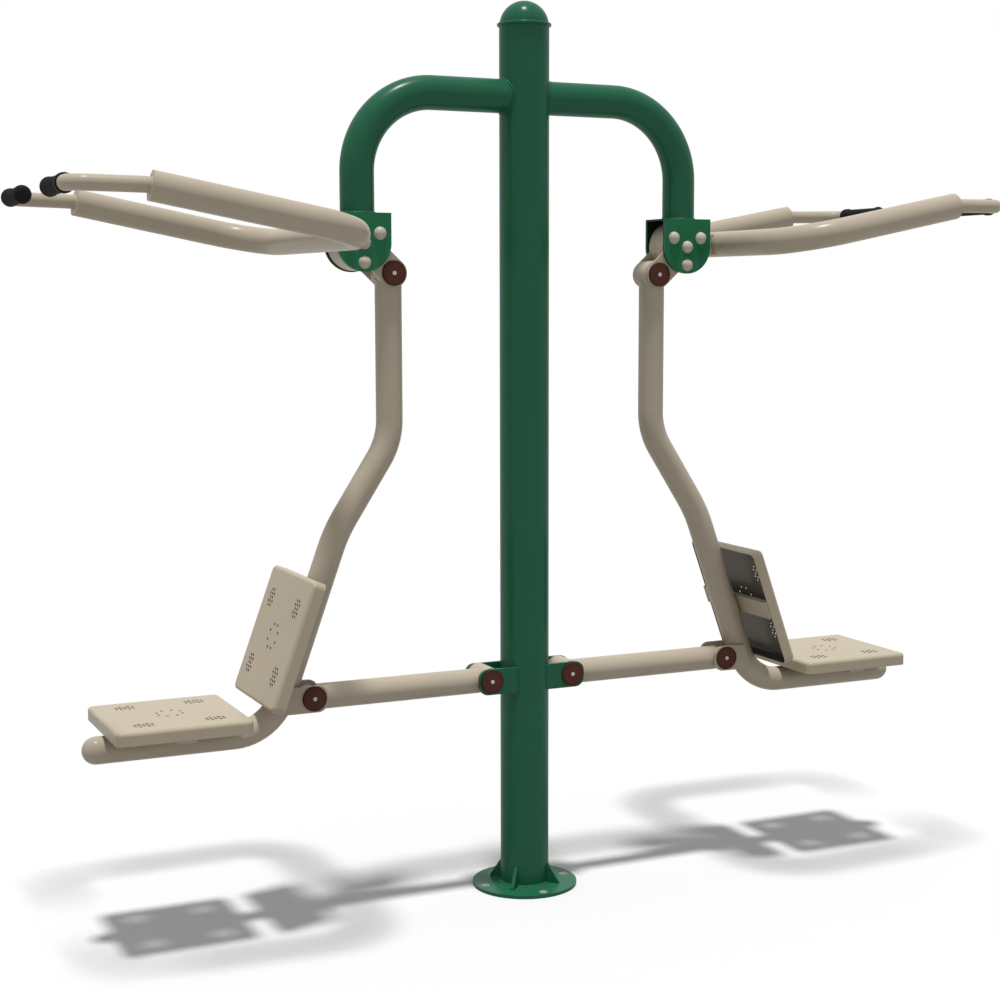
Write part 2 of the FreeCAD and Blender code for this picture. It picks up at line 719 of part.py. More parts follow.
PIN_HOLE = "pin_radius + weld_gap"
hanger_lug = lug("hanger_lug", tube_x(LUG_BOTTOM), tube_x(LUG_TOP), SEAT_PIN_X,
                 f"{SEAT_PIN_X} - lug_nose", LUG_OUT, PIN_HOLE)
node("right_hanger_lugs", both_sides("hanger_lugs", hanger_lug))
pin_and_caps("seat_pin", SEAT_PIN_X, LINK_PIN_Z, LUG_OUT)

# Pans: two like pressed trays, one on the tube's level run and one against its sloped
# run, each carried on a flat bar across its back. Each is pierced by four clusters of small
# drain holes and a ring of them in the middle.
PAN_MIDDLE = ("pan_length / 2", "pan_width / 2")
PAN_HOLES = []
for end in (-1, 1):
    for side in (-1, 1):
        for row in range(-2, 3):
            for column in ((-1, 0, 1) if row % 2 else (-0.5, 0.5)):
                PAN_HOLES.append((
                    f"{PAN_MIDDLE[0]} + {end} * cluster_reach + {row} * hole_row_pitch",
                    f"{PAN_MIDDLE[1]} + {side} * cluster_spread + {column} * hole_column_pitch",
                    "hole_radius"))
RING_HOLES = 8
for spot in range(RING_HOLES):
    turn = (spot + 0.5) * 360 / RING_HOLES
    PAN_HOLES.append((f"{PAN_MIDDLE[0]} + hole_ring * cos({turn})",
                      f"{PAN_MIDDLE[1]} + hole_ring * sin({turn})", "hole_radius"))


FLAT = 0.01


def pan(name):
    """Tray pressed from sheet, face up, open below, with rounded corners and edges."""
    body = doc.addObject("PartDesign::Body", name)
    blank = body.newObject("PartDesign::Pad", f"{name}_blank")
    blank.Profile = outline(body, f"{name}_outline", "XY_Plane", [
        ("0", "0"), ("pan_length", "0"), ("pan_length", "pan_width"), ("0", "pan_width")])
    bind(blank, Length="pan_depth")
    doc.recompute()
    corners = body.newObject("PartDesign::Fillet", f"{name}_corners")
    corners.Base = (blank, [f"Edge{index}" for index, edge in enumerate(blank.Shape.Edges, 1)
                            if abs(edge.tangentAt(edge.FirstParameter).z) > 0.5])
    bind(corners, Radius="pan_corner")
    doc.recompute()
    rim = body.newObject("PartDesign::Fillet", f"{name}_rim")
    top = corners.Shape.BoundBox.ZMax
    rim.Base = (corners, [f"Edge{index}" for index, edge in enumerate(corners.Shape.Edges, 1)
                          if edge.BoundBox.ZMin > top - FLAT])
    bind(rim, Radius="pan_edge")
    doc.recompute()
    hollow = body.newObject("PartDesign::Thickness", f"{name}_hollow")
    hollow.Base = (rim, [f"Face{index}" for index, face in enumerate(rim.Shape.Faces, 1)
                         if face.BoundBox.ZMax < FLAT])
    hollow.Reversed = True
    bind(hollow, Value="pan_wall")
    doc.recompute()
    pierced = body.newObject("PartDesign::Pocket", f"{name}_pierced")
    pierced.Profile = circles(body, f"{name}_holes", "XY_Plane", PAN_HOLES)
    pierced.Type = "ThroughAll"
    pierced.Reversed = True
    body.Tip = pierced
    return body


def crossbar(name):
    """Flat bar across the back of a pan, from wall to wall and down to the tube."""
    bar = doc.addObject("Part::Box", name)
    bind(bar, Length="crossbar_height", Width="pan_width - 2 * pan_wall", Height="pan_lift + crossbar_bite")
    return bar


SEAT_FOOT = "seat_tube_height + hanger_radius + pan_lift"
seat = pan("seat")
bind(seat, x=SEAT_PAN_X, y="-pan_width / 2", z=SEAT_FOOT)
node("right_seat_pan", seat)
seat_bar = crossbar("seat_bar")
bind(seat_bar, x=f"{SEAT_PAN_X} + pan_length / 2 - crossbar_height / 2",
     y="pan_wall - pan_width / 2", z="seat_tube_height + hanger_radius")

BACK_TURN = "90 - back_tilt"


def behind_back(feature, lift, along):
    """Lay a piece against the sloped run: lift from the tube's axis, along from its bend."""
    feature.Placement = FreeCAD.Placement(V(), FreeCAD.Rotation(V(0, 1, 0), number(BACK_TURN)))
    bind(feature, **{"Placement.Rotation.Angle": BACK_TURN},
         x=f"{SEAT_BEND_X} + ({lift}) * cos(back_tilt) - ({along}) * sin(back_tilt)",
         z=f"seat_tube_height + ({lift}) * sin(back_tilt) + ({along}) * cos(back_tilt)")


BACK_TOP = f"{BEND_RUN} - back_pan_overhang + pan_length"
back = pan("back")
behind_back(back, "hanger_radius + pan_lift", BACK_TOP)
bind(back, y="-pan_width / 2")
node("right_back_pan", back)
back_bar = crossbar("back_bar")
behind_back(back_bar, "hanger_radius", f"{BACK_TOP} - pan_length / 2 + crossbar_height / 2")
bind(back_bar, y="pan_wall - pan_width / 2")
node("right_pan_crossbars", group("pan_crossbars", seat_bar, back_bar))

# Post lugs: two ears on the sides of the post that hold the link's inner pin.
POST_LUG_IN = "post_eye_half_length + side_gap"
POST_LUG_OUT = f"{POST_LUG_IN} + lug_thickness"
POST_PIN_X = "post_radius + post_pin_standoff"
post_lug = lug("post_lug", "0", "0", POST_PIN_X, f"{POST_PIN_X} + lug_nose", POST_LUG_OUT, PIN_HOLE)
lug_coping = upright("lug_coping", "post_radius + weld_gap", "0", "post_height")
post_lug_cut = cut("post_lug_coped", post_lug, lug_coping)
node("right_post_lugs", both_sides("post_lugs", post_lug_cut))
pin_and_caps("post_pin", POST_PIN_X, LINK_PIN_Z, POST_LUG_OUT)

# Link: a tube with an eye at each end, bushed on the post's pin. The outer eye has room
# round the seat pin, where the loop of four pivots is left open.
LINK_Z = f"{LINK_PIN_Z} - link_drop"
INNER_BORE = "pin_radius + running_fit + bush_wall"
LINK_RADIUS = "hanger_radius - link_side_gap"


def along_link(name, radius, start, end):
    """Round bar between the two pins."""
    bar = doc.addObject("Part::Cylinder", name)
    bar.Placement = FreeCAD.Placement(V(), FreeCAD.Rotation(V(0, 1, 0), 90))
    return bind(bar, Radius=radius, Height=f"({end}) - ({start})", x=start, z=LINK_Z)


link_bar = along_link("link_outer", LINK_RADIUS, f"{POST_PIN_X} + link_inset",
                      f"{SEAT_PIN_X} - link_inset")
link_hollow = along_link("link_inner", f"{LINK_RADIUS} - link_wall", f"{POST_PIN_X} + post_eye_radius",
                         f"{SEAT_PIN_X} - ({OUTER_EYE})")
inner_eye = across("inner_eye", "post_eye_radius", "-post_eye_half_length", "post_eye_half_length",
                   POST_PIN_X, LINK_PIN_Z)
outer_eye = across("outer_eye", OUTER_EYE, "side_gap - hanger_radius", "hanger_radius - side_gap",
                   SEAT_PIN_X, LINK_PIN_Z)
inner_bore = across("inner_bore", INNER_BORE, "-post_eye_half_length", "post_eye_half_length",
                    POST_PIN_X, LINK_PIN_Z)
outer_bore = across("outer_bore", OUTER_BORE, "-hanger_radius", "hanger_radius",
                    SEAT_PIN_X, LINK_PIN_Z)
link = cut("link", fuse("link_blank", link_bar, inner_eye, outer_eye),
           link_hollow, inner_bore, outer_bore)
node("right_link_tube", link)
link_bush = barrel("link_bush", f"{INNER_BORE} - weld_gap", "pin_radius + running_fit",
                   "post_eye_half_length - bush_length", "post_eye_half_length",
                   POST_PIN_X, LINK_PIN_Z)
node("right_link_bushes", both_sides("link_bushes", link_bush))

# Left station: the mirror image of every piece of the right one.
for label in [name for name in nodes if name.startswith("right_")]:
    twin = label.replace("right_", "left_", 1)
    node(twin, mirrored(twin, nodes[label], V(1, 0, 0)))

doc.recompute()
for item in doc.Objects:
    if "Invalid" in item.State or "Error" in item.State:
        raise RuntimeError(f"{item.Name} failed: {item.State}")
for label, piece in nodes.items():
    if piece.Shape.isNull() or not piece.Shape.isValid():
        raise RuntimeError(f"{label} has no valid shape")

os.makedirs("parts", exist_ok=True)
for label, piece in nodes.items():
    piece.Shape.exportStep(f"parts/{label}.step")
print(len(nodes), "pieces,", sum(len(piece.Shape.Solids) for piece in nodes.values()), "solids")
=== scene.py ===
import math

import bpy
import bmesh
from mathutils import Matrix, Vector


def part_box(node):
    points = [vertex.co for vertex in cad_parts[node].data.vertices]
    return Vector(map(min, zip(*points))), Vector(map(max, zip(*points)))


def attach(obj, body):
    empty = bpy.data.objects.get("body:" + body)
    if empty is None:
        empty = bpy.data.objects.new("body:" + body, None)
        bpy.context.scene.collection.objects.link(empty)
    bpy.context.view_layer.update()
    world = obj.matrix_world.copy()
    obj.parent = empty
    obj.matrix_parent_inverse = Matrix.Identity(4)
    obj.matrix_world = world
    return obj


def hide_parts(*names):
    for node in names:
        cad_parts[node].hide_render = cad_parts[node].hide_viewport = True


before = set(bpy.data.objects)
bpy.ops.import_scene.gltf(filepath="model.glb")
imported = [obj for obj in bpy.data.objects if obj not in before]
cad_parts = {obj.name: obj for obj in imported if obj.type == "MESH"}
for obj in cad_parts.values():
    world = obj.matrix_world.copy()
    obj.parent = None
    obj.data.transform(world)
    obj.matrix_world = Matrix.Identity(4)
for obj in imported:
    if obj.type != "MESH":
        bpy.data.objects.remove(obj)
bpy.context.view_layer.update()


# Post, foot and cap: a steel tube on a bolted flange with four gussets, closed by a domed cap.
# Green powder coat with a fine orange-peel skin under a faint gloss, with the walls of the anchor
# holes painted pale grey: painted light, so the holes read bright. The post is welded to the flange all
# round, so a rippled bead runs about its foot.
class Wire:
    """A socket in a node tree. Sums on it add Math nodes."""

    def __init__(self, tree, socket=None):
        self.tree = tree
        self.socket = socket

    def make(self, kind, settings=None, sockets=None, output=0):
        """A node of this kind with its settings, then the values or links of its sockets."""
        node = self.tree.nodes.new(kind)
        for name, value in (settings or {}).items():
            setattr(node, name, value)
        for name, value in (sockets or {}).items():
            if isinstance(value, Wire):
                self.tree.links.new(value.socket, node.inputs[name])
            else:
                node.inputs[name].default_value = value
        return Wire(self.tree, node.outputs[output])

    def maths(self, operation, first, second=0.0):
        """A Math node on one or two values."""
        return self.make("ShaderNodeMath", {"operation": operation}, {0: first, 1: second})

    def __add__(self, other):
        return self.maths("ADD", self, other)

    def __radd__(self, other):
        return self.maths("ADD", other, self)

    def __sub__(self, other):
        return self.maths("SUBTRACT", self, other)

    def __rsub__(self, other):
        return self.maths("SUBTRACT", other, self)

    def __mul__(self, other):
        return self.maths("MULTIPLY", self, other)

    def __rmul__(self, other):
        return self.maths("MULTIPLY", other, self)

    def __lt__(self, other):
        return self.maths("LESS_THAN", self, other)

    def __gt__(self, other):
        return self.maths("GREATER_THAN", self, other)


def blank_material(name):
    """Material with one shader, and a wire to start its node tree from."""
    material = bpy.data.materials.new(name)
    material.use_nodes = True
    tree = material.node_tree
    shader = next(node for node in tree.nodes if node.type == "BSDF_PRINCIPLED")
    return material, Wire(tree), shader


def plug(start, shader, **wires):
    """Link wires to the shader's sockets, with spaces written as underscores."""
    for name, wire in wires.items():
        start.tree.links.new(wire.socket, shader.inputs[name.replace("_", " ")])


def places(start):
    """Places on the piece in metres, in the frame of the whole machine."""
    return start.make("ShaderNodeTexCoord", output="Object")


def parts_of(start, vector):
    """The x, y and z of a vector."""
    split = start.make("ShaderNodeSeparateXYZ", sockets={"Vector": vector})
    return [Wire(start.tree, socket) for socket in split.socket.node.outputs]


def noise(start, where, size, detail=2.0, roughness=0.5):
    """Cloudy value from 0 to 1 whose patches are about this size in metres."""
    return start.make("ShaderNodeTexNoise", {"noise_dimensions": "3D"},
                      {"Vector": where, "Scale": 1 / size, "Detail": detail, "Roughness": roughness})


def between(wire, low, high):
    """Value that goes from low to high as the wire goes from 0 to 1."""
    return wire * (high - low) + low


def mixed(start, factor, first, second):
    """Colour between two colours. Sockets 6 and 7 and output 2 are the ones for colours."""
    return start.make("ShaderNodeMix", {"data_type": "RGBA"},
                      {6: first, 7: second, 0: factor}, output=2)


def bumps(start, height, strength, distance):
    """Small relief on the surface."""
    return start.make("ShaderNodeBump", sockets={
        "Height": height, "Strength": strength, "Distance": distance})


CLOUD_SIZE = 0.18
SPECK_SIZE = 0.005
CLOUD_SHARE = 0.6
CLOUD_SWING = 0.06
SPECK_SWING = 0.10
DUST = (0.40, 0.37, 0.32, 1)
DUST_COVER = 0.03
DUST_SWING = 0.08
PEEL_SIZE = 0.0022
PEEL_DEPTH = 0.0004
PEEL_STRENGTH = 0.10
SKIN_SHINE = 0.02
GLOSS = 0.30
GLOSS_ROUGHNESS = 0.25


def powder_coat(name, deep, pale, roughness, painted_shading=None, painted_shading_colour=None):
    """Powder coat: orange-peel skin, cloudy tone, dust on top, and a given colour over a mask, which
    paints shade in hollows and light in the anchor holes.
    """
    material, start, shader = blank_material(name)
    where = places(start)
    facing = start.make("ShaderNodeTexCoord", output="Normal")
    clouds = noise(start, where, CLOUD_SIZE, detail=3.0)
    specks = noise(start, where, SPECK_SIZE, roughness=0.7)
    up = parts_of(start, facing)[2]
    dust = start.make("ShaderNodeClamp", sockets={"Value": up}) * clouds
    tint = mixed(start, clouds * CLOUD_SHARE + specks * (1 - CLOUD_SHARE), deep, pale)
    tint = mixed(start, dust * DUST_COVER, tint, DUST)
    # Painted shading: over the mask the tint turns to the given colour, painted shade in the clevis and
    # pan hollows and painted light on the anchor-hole walls.
    if painted_shading:
        mask = painted_shading(start, where, facing)
        tint = mixed(start, mask * between(clouds, 0.93, 1.03), tint, painted_shading_colour)
    swing = specks * SPECK_SWING + clouds * CLOUD_SWING + dust * DUST_SWING
    plug(start, shader, Base_Color=tint,
         Roughness=swing + (roughness - (SPECK_SWING + CLOUD_SWING) / 2),
         Normal=bumps(start, noise(start, where, PEEL_SIZE), PEEL_STRENGTH, PEEL_DEPTH))
    shader.inputs["Specular IOR Level"].default_value = SKIN_SHINE
    shader.inputs["Coat Weight"].default_value = GLOSS
    shader.inputs["Coat Roughness"].default_value = GLOSS_ROUGHNESS
    return material


def paint(material, *names):
    """Give CAD nodes a finish."""
    for name in names:
        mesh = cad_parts[name].data
        mesh.materials.clear()
        mesh.materials.append(material)


def mesh_object(name, mesh, material):
    """Smooth-shaded piece made from a finished bmesh, with its faces turned outward."""
    data = bpy.data.meshes.new(name)
    bmesh.ops.recalc_face_normals(mesh, faces=mesh.faces[:])
    mesh.normal_update()
    mesh.to_mesh(data)
    mesh.free()
    data.shade_smooth()
    data.materials.append(material)
    piece = bpy.data.objects.new(name, data)
    bpy.context.scene.collection.objects.link(piece)
    return piece


def turns(count):
    """Angles once round."""
    return [step * math.tau / count for step in range(count)]


def level_ring(middle, radius, count):
    """Points on a level circle."""
    return [middle + Vector((math.cos(turn), math.sin(turn), 0)) * radius for turn in turns(count)]


def skin(mesh, here, there):
    """Faces between two rings of points."""
    count = len(here)
    for step in range(count):
        following = (step + 1) % count
        mesh.faces.new((here[step], here[following], there[following], there[step]))


BEAD_RING = 8
RIPPLE = 0.16


def bead(name, points, middle, radius, closed, material, body):
    """Weld bead along a run of points, rippled, with its rings turned away from the middle."""
    mesh = bmesh.new()
    rows = []
    count = len(points)
    for index, point in enumerate(points):
        before = points[index - 1] if closed or index else point
        after = points[(index + 1) % count] if closed or index < count - 1 else point
        along = (after - before).normalized()
        away = point - middle
        away = (away - along * away.dot(along)).normalized()
        side = along.cross(away)
        size = radius * (1 + RIPPLE * (index % 3 - 1))
        rows.append([mesh.verts.new(point + (away * math.cos(turn) + side * math.sin(turn)) * size)
                     for turn in turns(BEAD_RING)])
    for index in range(count if closed else count - 1):
        skin(mesh, rows[index], rows[(index + 1) % count])
    if not closed:
        mesh.faces.new(reversed(rows[0]))
        mesh.faces.new(rows[-1])
    piece = mesh_object(name, mesh, material)
    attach(piece, body)


ANCHOR_CIRCLE = 0.103
ANCHOR_EDGE = 0.0095


def anchor_holes(start, where, facing):
    """Mask of the anchor holes, which lie on the two axes of the flange; their walls get painted light.
    """
    x, y = parts_of(start, where)[:2]
    across = start.maths("ABSOLUTE", x)
    ahead = start.maths("ABSOLUTE", y)
    out = start.maths("MAXIMUM", across, ahead) - ANCHOR_CIRCLE
    aside = start.maths("MINIMUM", across, ahead)
    return out * out + aside * aside < ANCHOR_EDGE ** 2


SATIN = 0.48
DEEP_GREEN = (0.009, 0.110, 0.054, 1)
PALE_GREEN = (0.015, 0.140, 0.070, 1)
# Pale grey painted on the anchor-hole walls: painted light, so the holes read bright.
PAINTED_HOLE_LIGHT = (0.80, 0.82, 0.79, 1)
green = powder_coat("green_powder_coat", DEEP_GREEN, PALE_GREEN, SATIN)
flange_green = powder_coat("flange_powder_coat", DEEP_GREEN, PALE_GREEN, SATIN, anchor_holes, PAINTED_HOLE_LIGHT)
paint(green, "post", "base_gussets", "post_cap")
paint(flange_green, "base_flange")
POST_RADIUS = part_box("post")[1].x
BEAD = 0.003
FOOT_RIPPLES = 180
post_foot = Vector((0, 0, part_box("base_flange")[1].z))
bead("post_foot_weld", level_ring(post_foot, POST_RADIUS, FOOT_RIPPLES), post_foot, BEAD, True,
     green, "post")

# Arches and clevises: bent tubes coped and welded to the post, each ending in a bridge plate with
# two cheeks. A green coat, brighter on the plates, with painted shade on the faces between the
# cheeks. Beads follow the saddle at the post and the ring on the bridge.
CHEEK_THICKNESS = 0.008
CHEEK_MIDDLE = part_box("right_clevis")[1].y - CHEEK_THICKNESS / 2


def between_cheeks(start, where, facing):
    """Mask of the faces inside a clevis, which get painted shade."""
    across = parts_of(start, where)[1]
    return start.maths("ABSOLUTE", across) < CHEEK_MIDDLE


def middle_of(name):
    """Middle of a CAD node's box."""
    low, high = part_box(name)
    return (low + high) / 2


DEEP_PLATE_GREEN = (0.009, 0.155, 0.064, 1)
PALE_PLATE_GREEN = (0.015, 0.193, 0.082, 1)
# Dark green painted on the faces between the cheeks: painted shade.
PAINTED_SHADE_GREEN = (0.003, 0.022, 0.013, 1)
plate_green = powder_coat("clevis_powder_coat", DEEP_PLATE_GREEN, PALE_PLATE_GREEN, SATIN,
                          between_cheeks, PAINTED_SHADE_GREEN)
SIDES = {"left": -1, "right": 1}
ARCH_RIPPLES = 120
for side, sign in SIDES.items():
    paint(green, f"{side}_arch_tube")
    paint(plate_green, f"{side}_clevis")
    arch_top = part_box(f"{side}_arch_tube")[1]
    arch_radius = arch_top.y
    arch_height = arch_top.z - arch_radius
    saddle = []
    for turn in turns(ARCH_RIPPLES):
        y = arch_radius * math.cos(turn)
        x = math.sqrt(POST_RADIUS ** 2 - y ** 2)
        saddle.append(Vector((sign * x, y, arch_height + arch_radius * math.sin(turn))))
    bead(f"{side}_arch_weld", saddle, Vector((sign * POST_RADIUS, 0, arch_height)), BEAD, True,
         green, "post")
    bridge = Vector((middle_of(f"{side}_clevis").x, 0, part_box(f"{side}_clevis")[1].z))
    bead(f"{side}_bridge_weld", level_ring(bridge, arch_radius, ARCH_RIPPLES), bridge, BEAD, True,
         green, "post")

# Post lugs: two ears each side, cut from plate and painted with the post. An upright bead along
# its outer face welds each ear to the post, and stops short of the ear's ends.
FACES = {"near": -1, "far": 1}
LUG_RIPPLES = 24
LUG_BEAD = 0.0024
LUG_SHORT = 0.001
for side, sign in SIDES.items():
    paint(green, f"{side}_post_lugs")
    low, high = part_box(f"{side}_post_lugs")
    lug_out = high.y
    lug_middle = (low.z + high.z) / 2
    lug_half = (high.z - low.z) / 2 - LUG_SHORT
    root = sign * math.sqrt(POST_RADIUS ** 2 - lug_out ** 2)
    for name, face in FACES.items():
        seam = [Vector((root, face * lug_out, lug_middle + lug_half * (2 * step / LUG_RIPPLES - 1)))
                for step in range(LUG_RIPPLES + 1)]
        bead(f"{side}_{name}_lug_weld", seam, Vector((0, 0, lug_middle)), LUG_BEAD, False,
             green, "post")

# Levers: hub, tail plates, yoke brackets, the yoke tube and the thinner handle bars. Welded
# steel in a warm stone powder coat. A ring of weld closes each sleeve round its bar.
DEEP_STONE = (0.49, 0.423, 0.326, 1)
PALE_STONE = (0.57, 0.492, 0.382, 1)
stone = powder_coat("stone_powder_coat", DEEP_STONE, PALE_STONE, SATIN)
YOKE_CORNER = middle_of("right_lever_hub") + Vector((0.100, 0.373, 0.008))
SLEEVE_END = YOKE_CORNER + Vector((0.442, -0.024, 0.085))
BAR_RADIUS = 0.016
SLEEVE_BEAD = 0.0021
SLEEVE_RIPPLES = 60
for side, sign in SIDES.items():
    for piece in ("lever_hub", "tail_plates", "yoke_brackets", "yoke", "handle_bars"):
        paint(stone, f"{side}_{piece}")
    for name, face in FACES.items():
        flip = Vector((sign, face, 1))
        end = SLEEVE_END * flip
        along = (end - YOKE_CORNER * flip).normalized()
        level = along.cross(Vector((0, 0, 1))).normalized()
        upward = level.cross(along)
        ring = [end + (level * math.cos(turn) + upward * math.sin(turn)) * BAR_RADIUS
                for turn in turns(SLEEVE_RIPPLES)]
        bead(f"{side}_{name}_sleeve_weld", ring, end, SLEEVE_BEAD, True, stone, f"{side}_lever")

# Clevis bolts: steel bolts through the cheeks into the flanges of the stub axles, with domed
# heads. Their stone coat is paler and smoother than that of the levers.
DEEP_BOLT_STONE = (0.55, 0.490, 0.405, 1)
PALE_BOLT_STONE = (0.64, 0.575, 0.480, 1)
BOLT_ROUGHNESS = 0.34
bolt_stone = powder_coat("bolt_powder_coat", DEEP_BOLT_STONE, PALE_BOLT_STONE, BOLT_ROUGHNESS)
for side in SIDES:
    paint(bolt_stone, f"{side}_clevis_bolts")

# Hangers: one bent tube each from the tail pin to under the seat, with an eye on top and two
# ears for the link. Stone coat. The eye is welded to the coped tube by a bead on each flank.
FLANK = math.radians(62)
FLANKS = {"inner": -1, "outer": 1}
EYE_RIPPLES = 30
EYE_BEAD = 0.0024
for side, sign in SIDES.items():
    for piece in ("hanger_tube", "hanger_eye", "hanger_lugs"):
        paint(stone, f"{side}_{piece}")
    eye = middle_of(f"{side}_hanger_eye")
    eye_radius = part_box(f"{side}_hanger_eye")[1].x - eye.x
    tube_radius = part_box(f"{side}_hanger_tube")[1].y
    for name, flank in FLANKS.items():
        seam = []
        for step in range(EYE_RIPPLES + 1):
            turn = FLANK * (2 * step / EYE_RIPPLES - 1)
            x = flank * tube_radius * math.cos(turn)
            drop = math.sqrt(eye_radius ** 2 - x ** 2)
            seam.append(eye + Vector((sign * x, tube_radius * math.sin(turn), -drop)))
        bead(f"{side}_{name}_eye_weld", seam, eye, EYE_BEAD, False, stone, f"{side}_hanger")

# Links: a steel tube each from the post's lugs to the hanger's, painted stone like the hangers.
# An eye at both ends turns on a pin.
for side in SIDES:
    paint(stone, f"{side}_link_tube")

# Pans and crossbars: seat and backrest pressed from sheet and pierced, each on a flat bar across
# its back. Stone coat, a little smoother than on the tubes. Painted shade darkens the hollow and
# the walls of the drain holes, which lie well inside the pan's outline.
TUBE_BEND = Vector((0.624, 0, 0.434))
HOLE_SPREAD = 0.115
FLOOR_SHADE = 0.78
FLOOR_FACING = -0.8
WALL_FACING = 0.5
INWARD = -0.02

# For each pan: its tilt, how far its floor lies from the bend, and where its holes start and end.
PAN_FLOORS = {"back": (math.radians(20), 0.055, 0.09, 0.32),
              "seat": (math.radians(90), 0.056, -0.341, -0.111)}


def pan_mask(start, where, facing, name):
    """Mask of painted shade: the hollow's floor and walls and the hole walls of one kind of pan."""
    tilt, floor_lift, first, last = PAN_FLOORS[name]
    x, y, z = parts_of(start, where)
    nx, ny, nz = parts_of(start, facing)
    outward = start.maths("SIGN", x)
    reach = x * outward - TUBE_BEND.x
    rise = z - TUBE_BEND.z
    lift = reach * math.cos(tilt) + rise * math.sin(tilt)
    along = rise * math.cos(tilt) - reach * math.sin(tilt)
    turned = nx * outward * math.cos(tilt) + nz * math.sin(tilt)
    lengthwise = nz * math.cos(tilt) - nx * outward * math.sin(tilt)
    floor_faces = (turned < FLOOR_FACING) * (lift > floor_lift)
    inward_faces = ny * y + lengthwise * (along - (first + last) / 2) < INWARD
    inside = (along > first) * (along < last) * (start.maths("ABSOLUTE", y) < HOLE_SPREAD)
    hole_walls = (start.maths("ABSOLUTE", turned) < WALL_FACING) * inside * (lift > floor_lift)
    walls = start.maths("MAXIMUM", inward_faces, hole_walls)
    return start.maths("MAXIMUM", floor_faces * FLOOR_SHADE, walls)


DEEP_PAN_STONE = (0.48, 0.413, 0.306, 1)
PALE_PAN_STONE = (0.55, 0.473, 0.352, 1)
PAN_ROUGHNESS = 0.46
# Dark colour painted over the hollow and the drain-hole walls: painted shade.
PAINTED_HOLLOW_SHADE = (0.055, 0.050, 0.044, 1)
for kind in PAN_FLOORS:
    pan_stone = powder_coat(f"{kind}_pan_powder_coat", DEEP_PAN_STONE, PALE_PAN_STONE, PAN_ROUGHNESS,
                            lambda start, where, facing: pan_mask(start, where, facing, kind),
                            PAINTED_HOLLOW_SHADE)
    for side in SIDES:
        paint(pan_stone, f"{side}_{kind}_pan")
for side in SIDES:
    paint(stone, f"{side}_pan_crossbars")

# Pins and stub axles: bars of ground steel with fine turning marks. The lugs, tail plates and
# cheeks hold them, and the eyes and the hub turn on them.
DARK_STEEL = (0.50, 0.50, 0.51, 1)
LIGHT_STEEL = (0.58, 0.58, 0.59, 1)
STEEL_PATCH = 0.02
MARK_SIZE = 0.0008
MARK_DEPTH = 0.0002
MARK_STRENGTH = 0.05
steel, start, shader = blank_material("pin_steel")
where = places(start)
marks = noise(start, where, MARK_SIZE, detail=1.0)
plug(start, shader,
     Base_Color=mixed(start, noise(start, where, STEEL_PATCH), DARK_STEEL, LIGHT_STEEL),
     Roughness=between(marks, 0.25, 0.40),
     Normal=bumps(start, marks, MARK_STRENGTH, MARK_DEPTH))
shader.inputs["Metallic"].default_value = 1.0
for side in SIDES:
    paint(steel, f"{side}_pivot_stubs", f"{side}_post_pin", f"{side}_tail_pin", f"{side}_seat_pin")

# Bushes: plain sleeves of pale nylon. They are pressed into the hub and the eyes, and run on the
# pins and the stub axles.
DEEP_NYLON = (0.66, 0.64, 0.58, 1)
PALE_NYLON = (0.74, 0.72, 0.66, 1)
NYLON_PATCH = 0.012
NYLON_GRAIN = 0.003
nylon, start, shader = blank_material("bush_nylon")
where = places(start)
plug(start, shader,
     Base_Color=mixed(start, noise(start, where, NYLON_PATCH), DEEP_NYLON, PALE_NYLON),
     Roughness=between(noise(start, where, NYLON_GRAIN), 0.40, 0.55))
for side in SIDES:
    paint(nylon, f"{side}_hub_bushes", f"{side}_hanger_eye_bushes", f"{side}_link_bushes")

# Pin caps: brown moulded discs pressed over the pins, stippled and darker to the edge. Each has a
# white button with a small dimple in its middle.
DARK_BROWN = (0.060, 0.018, 0.011, 1)
RED_BROWN = (0.125, 0.040, 0.025, 1)
EDGE_BROWN = (0.018, 0.008, 0.006, 1)
EDGE_SHADE = 0.7
BUTTON_WHITE = (0.78, 0.76, 0.72, 1)
DIMPLE_BROWN = (0.12, 0.08, 0.07, 1)
BUTTON_RADIUS = 0.0046
DIMPLE_RADIUS = 0.0011
CAP_RADIUS = 0.028
EDGE_WIDTH = 0.007
CAP_PATCH = 0.01
CAP_SHINE = 0.15
STIPPLE_SIZE = 0.0014
STIPPLE_DEPTH = 0.0004
STIPPLE_STRENGTH = 0.35


def cap_plastic(name, pin):
    """Brown plastic whose button is white, for the caps on one pin and its mirror."""
    material, start, shader = blank_material(name)
    where = places(start)
    x, z = parts_of(start, where)[::2]
    dx = start.maths("ABSOLUTE", x) - pin.x
    dz = z - pin.z
    radius = start.maths("SQRT", dx * dx + dz * dz)
    button = radius < BUTTON_RADIUS
    dimple = radius < DIMPLE_RADIUS
    stipple = noise(start, where, STIPPLE_SIZE, detail=1.0)
    brown = mixed(start, (noise(start, where, CAP_PATCH) + stipple) * 0.5, DARK_BROWN, RED_BROWN)
    edge = start.make("ShaderNodeMapRange", sockets={
        "Value": radius, "From Min": CAP_RADIUS - EDGE_WIDTH, "From Max": CAP_RADIUS})
    brown = mixed(start, edge * EDGE_SHADE, brown, EDGE_BROWN)
    white = mixed(start, dimple, BUTTON_WHITE, DIMPLE_BROWN)
    plug(start, shader, Base_Color=mixed(start, button, brown, white),
         Roughness=between(stipple, 0.50, 0.70),
         Normal=bumps(start, stipple * (1 - button), STIPPLE_STRENGTH, STIPPLE_DEPTH))
    shader.inputs["Specular IOR Level"].default_value = CAP_SHINE
    return material


for kind in ("post_pin", "tail_pin", "seat_pin"):
    plastic = cap_plastic(f"{kind}_cap_plastic", middle_of(f"right_{kind}_caps"))
    for side in SIDES:
        paint(plastic, f"{side}_{kind}_caps")

